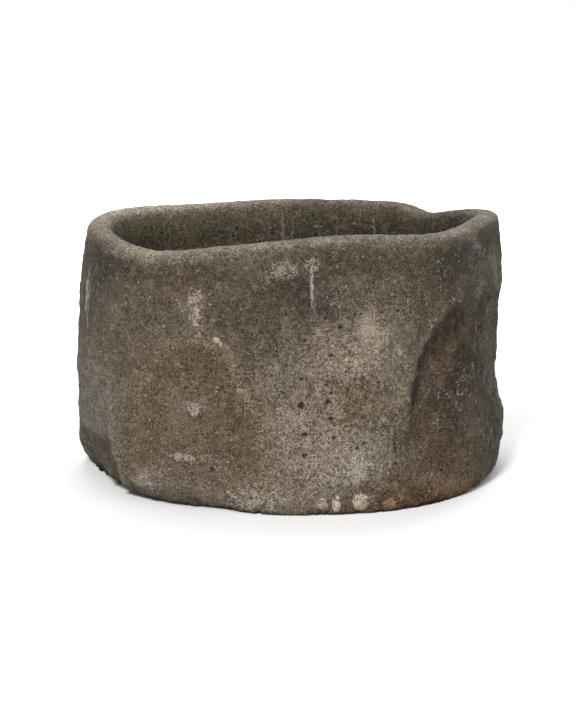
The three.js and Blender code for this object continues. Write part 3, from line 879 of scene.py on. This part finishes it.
# Pigments, as red, green, blue and cover.
TAN_GRAIN, LIME_DUST = (0.225, 0.160, 0.105, 1), (0.37, 0.34, 0.305, 1)
PALE_BLOTCH, DARK_BLOTCH = (0.225, 0.190, 0.160, 1), (0.045, 0.034, 0.025, 1)
PALE_FLECK, DARK_FLECK = (0.250, 0.208, 0.178, 1), (0.060, 0.043, 0.033, 1)
PALE_MOTTLE, DARK_MOTTLE = (0.180, 0.155, 0.125, 1), (0.048, 0.039, 0.028, 1)
# The pits' rims get a painted highlight, and the holes and the marks' shaded places a painted shade.
PIT_RIM_HIGHLIGHT, DARK_CRUMB = (0.20, 0.175, 0.15, 1), (0.020, 0.016, 0.012, 1)
HOLE_SHADE, SHADE_DARK = (0.018, 0.014, 0.010, 1), (0.022, 0.018, 0.014, 1)
LIME, CREAM, SHELL = (0.44, 0.405, 0.35, 1), (0.33, 0.275, 0.215, 1), (0.42, 0.355, 0.27, 1)
CLAY, CHALK, SCUFF = (0.42, 0.255, 0.14, 1), (0.62, 0.53, 0.42, 1), (0.275, 0.268, 0.260, 1)
DARK_LINE = (0.016, 0.012, 0.009, 1)

# Streaks narrower than this, in metres, keep straight sides.
THIN = 0.0036


def place(tree, group, inputs):
    """Puts a node group in a material with its own values."""
    made = tree.nodes.new("ShaderNodeGroup")
    made.node_tree = group
    for key, value in inputs.items():
        feed(tree, made.inputs[key], value)
    return made.outputs


def stone(name, seed, smears=(), pits=()):
    """Porous volcanic stone: painted tones, sandy grain, pale specks, dark pores, ragged smears and pits."""
    material = bpy.data.materials.new(name)
    material.use_nodes = True
    tree = material.node_tree
    shader = tree.nodes["Principled BSDF"]
    where = node(tree, "TexCoord").outputs["Object"]
    tone = node(tree, "Attribute", attribute_name="tone").outputs["Color"]
    marks = node(tree, "Attribute", attribute_name="marks").outputs["Color"]
    specks, pores, painted_shade = node(tree, "SeparateColor", {0: marks}).outputs[:3]

    # the painted tone, times the sand's shade and the strokes, which lean one way left and the other right
    contrast = plus(tree, 1.05, times(tree, pores, 0.26))
    sand = place(tree, SAND, {"Vector": where, "Seed": seed, "Contrast": contrast})
    side = node(tree, "SeparateXYZ", {0: where}).outputs[0]
    tilt = ramp(tree, side, -0.02, 0.06, -0.75, 0.75)
    strokes = place(tree, STROKES, {"Vector": where, "Tilt": tilt})["Mask"]
    factor = times(tree, sand["Shade"], plus(tree, 1.0, times(tree, strokes, 1.1)))
    grey = node(tree, "CombineColor", {0: factor, 1: factor, 2: factor}).outputs[0]
    colour = mix(tree, 1.0, tone, grey, "MULTIPLY")
    colour = coat(tree, colour, sand["Tan"], 0.16, TAN_GRAIN)

    # blotches and flecks of pale and dark stone, strongest where the pores are, and a broad mottle
    blotch = noise(tree, where, 120.0, 5.0, 0.68, seed + 3.0)
    amount = ramp(tree, pores, 0.1, 0.9, 0.22, 0.72)
    colour = coat(tree, colour, ramp(tree, blotch, 0.52, 0.62), amount, PALE_BLOTCH)
    colour = coat(tree, colour, ramp(tree, blotch, 0.46, 0.36), amount, DARK_BLOTCH)
    flecks = noise(tree, where, 215.0, 4.0, 0.7, seed + 9.0)
    amount = ramp(tree, pores, 0.25, 0.9, 0.10, 0.62)
    colour = coat(tree, colour, ramp(tree, flecks, 0.54, 0.64), amount, PALE_FLECK)
    colour = coat(tree, colour, ramp(tree, flecks, 0.45, 0.36), amount, DARK_FLECK)
    mottle = noise(tree, where, 34.0, 5.0, 0.62, seed + 6.0)
    colour = coat(tree, colour, ramp(tree, mottle, 0.50, 0.70), 0.20, PALE_MOTTLE)
    colour = coat(tree, colour, ramp(tree, mottle, 0.50, 0.30), 0.28, DARK_MOTTLE)

    # lime in specks of two sizes, and in smears
    fine = place(tree, SPECKS, {"Vector": where, "Scale": 640.0, "Amount": specks})["Mask"]
    fewer = times(tree, specks, 0.7)
    coarse = place(tree, SPECKS, {"Vector": where, "Scale": 300.0, "Amount": fewer})["Mask"]
    lime = calc(tree, "MAXIMUM", times(tree, fine, 0.7), times(tree, coarse, 0.6))
    colour = mix(tree, lime, colour, LIME_DUST)
    bend = place(tree, BEND, {"Vector": where})
    for middle, half, cover, pigment, strength in smears:
        source = where if half[0] < THIN else bend["Bent"]
        inputs = {"Bent": source, "Grit": bend["Grit"], "Middle": middle, "Half size": half, "Cover": cover}
        colour = coat(tree, colour, place(tree, SMEAR, inputs)["Mask"], strength, pigment)

    # dark crumbs between the grains; open pores of two sizes and the large pits, painted dark as the shade
    # inside them, with a pale ring painted round each pit as a highlight; and painted shade where the marks
    # give it
    crumbs = noise(tree, where, 520.0, 2.0, 0.6, seed + 12.0)
    crumbs = ramp(tree, plus(tree, crumbs, times(tree, pores, -0.03)), 0.385, 0.325)
    big = place(tree, PORES, {"Vector": where, "Scale": 118.0, "Amount": times(tree, pores, 0.16)})["Mask"]
    small = place(tree, PORES, {"Vector": where, "Scale": 260.0, "Amount": times(tree, pores, 0.26)})["Mask"]
    holes = calc(tree, "MAXIMUM", big, times(tree, small, 0.85))
    for middle, size in pits:
        pit = place(tree, PIT, {"Vector": where, "Grit": bend["Grit"], "Middle": middle, "Size": size})
        holes = calc(tree, "MAXIMUM", holes, pit["Mask"])
        colour = coat(tree, colour, pit["Ring"], 0.45, PIT_RIM_HIGHLIGHT)
    colour = coat(tree, colour, crumbs, 0.6, DARK_CRUMB)
    colour = coat(tree, colour, holes, 0.80, HOLE_SHADE)
    colour = coat(tree, colour, painted_shade, 0.6, SHADE_DARK)
    tree.links.new(colour, shader.inputs["Base Color"])
    tree.links.new(ramp(tree, mottle, 0.3, 0.7, 0.98, 0.84), shader.inputs["Roughness"])
    shader.inputs["Specular IOR Level"].default_value = 0.3

    # the bump's height: grains and strokes and lime stand up, holes and crumbs go in
    height = sand["Height"]
    for layer, by in ((holes, -2.2), (crumbs, -0.6), (strokes, 1.5), (lime, 0.25)):
        height = plus(tree, height, times(tree, layer, by))
    bump = node(tree, "Bump", {"Height": height, "Strength": 1.0, "Distance": 0.0016})
    tree.links.new(bump.outputs[0], shader.inputs["Normal"])
    return material


def on_wall(turn_deg, high, inside=False):
    """Point on the bowl's outer or inner wall, in metres."""
    r = float((inner_radius if inside else outer_radius)(np.float64(turn_deg), np.float64(high)))
    t = math.radians(turn_deg)
    return r * math.cos(t) / 1000, r * math.sin(t) / 1000, high / 1000


# (middle, half size, cover, colour, strength)
SMEARS = [
    (on_wall(244, 133), (0.0074, 0.02, 0.019), 0.58, SHELL, 0.80),
    (on_wall(249.6, 114.6), (0.0026, 0.01, 0.0021), 1.10, LIME, 0.9),
    (on_wall(250.8, 112.4), (0.0013, 0.01, 0.0018), 1.1, LIME, 0.85),
    (on_wall(267.5, 160), (0.013, 0.02, 0.008), 0.56, SHELL, 0.7),
    (on_wall(276.2, 164), (0.0060, 0.01, 0.005), 0.62, SHELL, 0.8),
    (on_wall(276, 152), (0.0013, 0.01, 0.018), 0.85, LIME, 0.9),
    (on_wall(276.6, 137), (0.0020, 0.01, 0.005), 0.55, CREAM, 0.6),
    (on_wall(200, 134), (0.02, 0.0030, 0.018), 0.80, LIME, 0.7),
    (on_wall(202.5, 128), (0.02, 0.0022, 0.022), 0.65, LIME, 0.6),
    (on_wall(244, 70), (0.008, 0.02, 0.0065), 0.46, LIME, 0.75),
    (on_wall(241, 37), (0.015, 0.02, 0.004), 0.46, LIME, 0.75),
    (on_wall(292, 120), (0.010, 0.02, 0.015), 0.62, SHELL, 0.5),
    (on_wall(278.6, 8), (0.0042, 0.02, 0.006), 0.66, CHALK, 0.85),
    (on_wall(282.6, 8), (0.0032, 0.02, 0.0065), 0.95, CHALK, 0.85),
    (on_wall(289.2, 8), (0.0052, 0.02, 0.0065), 0.90, CHALK, 0.85),
    (on_wall(290.4, 6.5), (0.0034, 0.02, 0.004), 0.95, CLAY, 0.75),
    (on_wall(297.5, 5.5), (0.0055, 0.02, 0.0045), 0.72, CLAY, 0.85),
    (on_wall(301, 10), (0.008, 0.02, 0.006), 0.40, CLAY, 0.6),
    (on_wall(289, 31), (0.020, 0.02, 0.014), 0.42, LIME, 0.85),
    (on_wall(259, 10), (0.028, 0.02, 0.010), 0.44, LIME, 0.9),
    (on_wall(228, 16), (0.013, 0.02, 0.008), 0.45, LIME, 0.75),
    (on_wall(283, 96), (0.012, 0.02, 0.007), 0.40, CREAM, 0.5),
    (on_wall(270, 67), (0.008, 0.02, 0.004), 0.40, CREAM, 0.6),
    (on_wall(300, 108), (0.004, 0.01, 0.012), 0.36, LIME, 0.5),
    (on_wall(337, 164), (0.012, 0.014, 0.010), 0.40, SCUFF, 0.8),
    (on_wall(337, 134), (0.010, 0.012, 0.012), 0.40, SCUFF, 0.7),
    (on_wall(263, 175), (0.024, 0.014, 0.0032), 0.44, LIME, 0.5),
    (on_wall(280, 178), (0.026, 0.014, 0.0032), 0.44, LIME, 0.5),
    (on_wall(70, 110), (0.012, 0.02, 0.02), 0.42, CREAM, 0.7),
    (on_wall(110, 50), (0.026, 0.02, 0.016), 0.44, LIME, 0.7),
    (on_wall(92, 142), (0.006, 0.02, 0.020), 0.52, SHELL, 0.65),
    (on_wall(135, 92), (0.010, 0.012, 0.008), 0.50, LIME, 0.6),
    (on_wall(48, 30), (0.016, 0.02, 0.010), 0.46, LIME, 0.7),
    (on_wall(350, 150), (0.010, 0.014, 0.010), 0.46, CREAM, 0.6),
    (on_wall(20, 60), (0.02, 0.008, 0.016), 0.42, CREAM, 0.6),
    (on_wall(150, 120), (0.012, 0.012, 0.016), 0.40, CREAM, 0.6),
    (on_wall(93, 158, True), (0.0016, 0.02, 0.016), 0.65, CREAM, 0.6),
    (on_wall(89, 160, True), (0.0012, 0.02, 0.014), 0.65, CREAM, 0.5),
    (on_wall(83, 170, True), (0.006, 0.02, 0.006), 0.45, CREAM, 0.7),
    (on_wall(72, 160, True), (0.0014, 0.02, 0.014), 0.50, CREAM, 0.5),
    (on_wall(298.6, 47), (0.0012, 0.01, 0.011), 1.1, DARK_LINE, 0.75),
    (on_wall(297.4, 47), (0.0012, 0.01, 0.010), 0.80, CREAM, 0.5),
    (on_wall(299.8, 26), (0.0012, 0.01, 0.010), 0.80, DARK_LINE, 0.4),
]
# The dark middle of a pit, in metres for each millimetre of its size, inside the bowl and outside.
INNER_PIT_SHARE, OUTER_PIT_SHARE = 0.00075, 0.00066
INNER_PITS = [
    (97, 152, 2.6), (80, 151, 2.4), (71, 150, 2.8), (112, 150, 2.0), (140, 156, 2.2), (60, 158, 1.8),
]
PITS = [(on_wall(turn_deg, high, True), size * INNER_PIT_SHARE) for turn_deg, high, size in INNER_PITS]
pit_places = 0.001 * moved.reshape(-1, 3)[pit_points]
PITS += [(tuple(middle), size * OUTER_PIT_SHARE) for middle, size in zip(pit_places, pit_sizes)]

bowl.data.materials.append(stone("Weathered volcanic stone", 0.0, SMEARS, PITS))
tejolote.data.materials.append(stone("Worn volcanic stone", 5.0))
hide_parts("bowl")
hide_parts("tejolote")
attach(bowl, "bowl")
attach(tejolote, "tejolote")


# ---------------------------------------------------------------- floor, lights and camera

def make_floor():
    """A flat pale sheet, twelve metres a side. Away from the object the camera sees it as plain white, so
    it meets the sky without an edge."""
    mesh = bpy.data.meshes.new("floor")
    mesh.from_pydata([(-6, -6, 0), (6, -6, 0), (6, 6, 0), (-6, 6, 0)], [], [(0, 1, 2, 3)])
    floor = bpy.data.objects.new("floor", mesh)
    bpy.context.scene.collection.objects.link(floor)
    paper = bpy.data.materials.new("Pale paper")
    paper.use_nodes = True
    tree = paper.node_tree
    shader = tree.nodes["Principled BSDF"]
    shader.inputs["Base Color"].default_value = (0.86, 0.86, 0.86, 1)
    shader.inputs["Roughness"].default_value = 0.9
    shader.inputs["Emission Strength"].default_value = 1.0
    away = length(tree, node(tree, "TexCoord").outputs["Object"])
    glow = times(tree, ramp(tree, away, 0.12, 1.1), node(tree, "LightPath").outputs["Is Camera Ray"])
    glow = node(tree, "CombineColor", {0: glow, 1: glow, 2: glow}).outputs[0]
    tree.links.new(glow, shader.inputs["Emission Color"])
    floor.data.materials.append(paper)


def soft_box(name, place_at, aim, power, size):
    """A square white area light looking at a point."""
    light = bpy.data.lights.new(name, "AREA")
    light.energy = power
    light.size = size
    made = bpy.data.objects.new(name, light)
    bpy.context.scene.collection.objects.link(made)
    made.location = place_at
    made.rotation_euler = (Vector(aim) - Vector(place_at)).to_track_quat("-Z", "Y").to_euler()


make_floor()
soft_box("key", (-0.45, -1.45, 1.20), (0, 0, 0.08), 36.0, 0.4)
soft_box("fill", (1.5, -1.1, 0.6), (0, 0, 0.08), 3.0, 1.0)
soft_box("top", (-0.1, 0.7, 1.5), (0, 0, 0.1), 12.0, 1.0)
soft_box("back", (0.7, 1.5, 0.9), (0, 0, 0.08), 16.0, 0.8)


def pale_studio(name, seen, lit):
    """World that is `seen` bright to the camera and lights the object with `lit`."""
    world = bpy.data.worlds.new(name)
    world.use_nodes = True
    tree = world.node_tree
    background = tree.nodes["Background"]
    background.inputs["Color"].default_value = (1, 1, 1, 1)
    path = node(tree, "LightPath").outputs["Is Camera Ray"]
    tree.links.new(ramp(tree, path, 0.0, 1.0, lit, seen), background.inputs["Strength"])
    bpy.context.scene.world = world


pale_studio("Studio", 1.0, 0.42)
bpy.context.scene.view_settings.view_transform = "Standard"

camera = bpy.data.cameras.new("camera")
camera.lens = CAMERA_LENS
camera.sensor_width = 36.0
camera_object = bpy.data.objects.new("camera", camera)
bpy.context.scene.collection.objects.link(camera_object)
camera_object.location = (CAMERA_AIM[0], -CAMERA_AWAY, CAMERA_HIGH)
aim = Vector(CAMERA_AIM) - camera_object.location
camera_object.rotation_euler = aim.to_track_quat("-Z", "Y").to_euler()
bpy.context.scene.camera = camera_object
